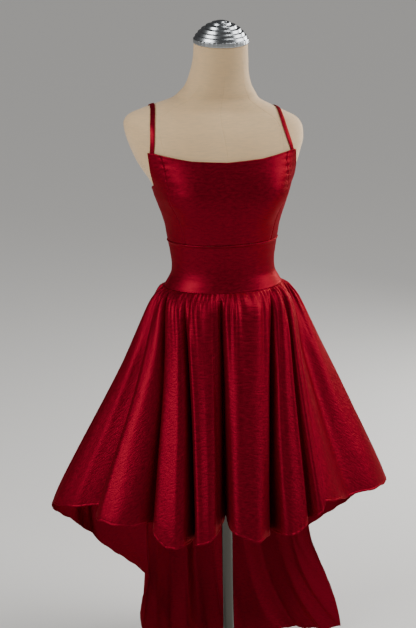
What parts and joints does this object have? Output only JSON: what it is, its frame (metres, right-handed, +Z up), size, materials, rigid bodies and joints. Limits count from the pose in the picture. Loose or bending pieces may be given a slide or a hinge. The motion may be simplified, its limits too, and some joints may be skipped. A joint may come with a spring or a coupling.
{
  "type": "high-low ball gown on dress form",
  "caption": "Fitted strappy satin gown with a plain waist band and a gathered skirt, short in front and floor length behind, on a limbless dress form and stand.",
  "frame": {"origin": "middle of the stand base's underside, on the floor", "axes": "+Z up along the stand's pole, -Y to the front of the gown, +X to the wearer's left"},
  "size_m": [0.7583, 0.512, 1.5328],
  "materials": {
    "satin": "red crinkled satin with a soft sheen",
    "linen": "plain beige linen cover, drawn tight",
    "chrome": "polished",
    "steel": "bright drawn steel"
  },
  "bodies": {
    "root": {"bodice_front_centre": "satin", "bodice_front_side_right": "satin", "bodice_front_side_left": "satin", "bodice_back_left": "satin", "bodice_back_right": "satin", "band_front": "satin", "band_back_left": "satin", "band_back_right": "satin", "strap_left": "satin", "strap_right": "satin", "skirt_front": "satin", "skirt_back_left": "satin", "skirt_back_right": "satin", "form_torso": "linen", "neck_cap": "chrome", "stand_pole": "steel", "stand_base": "steel"}
  },
  "joints": []
}
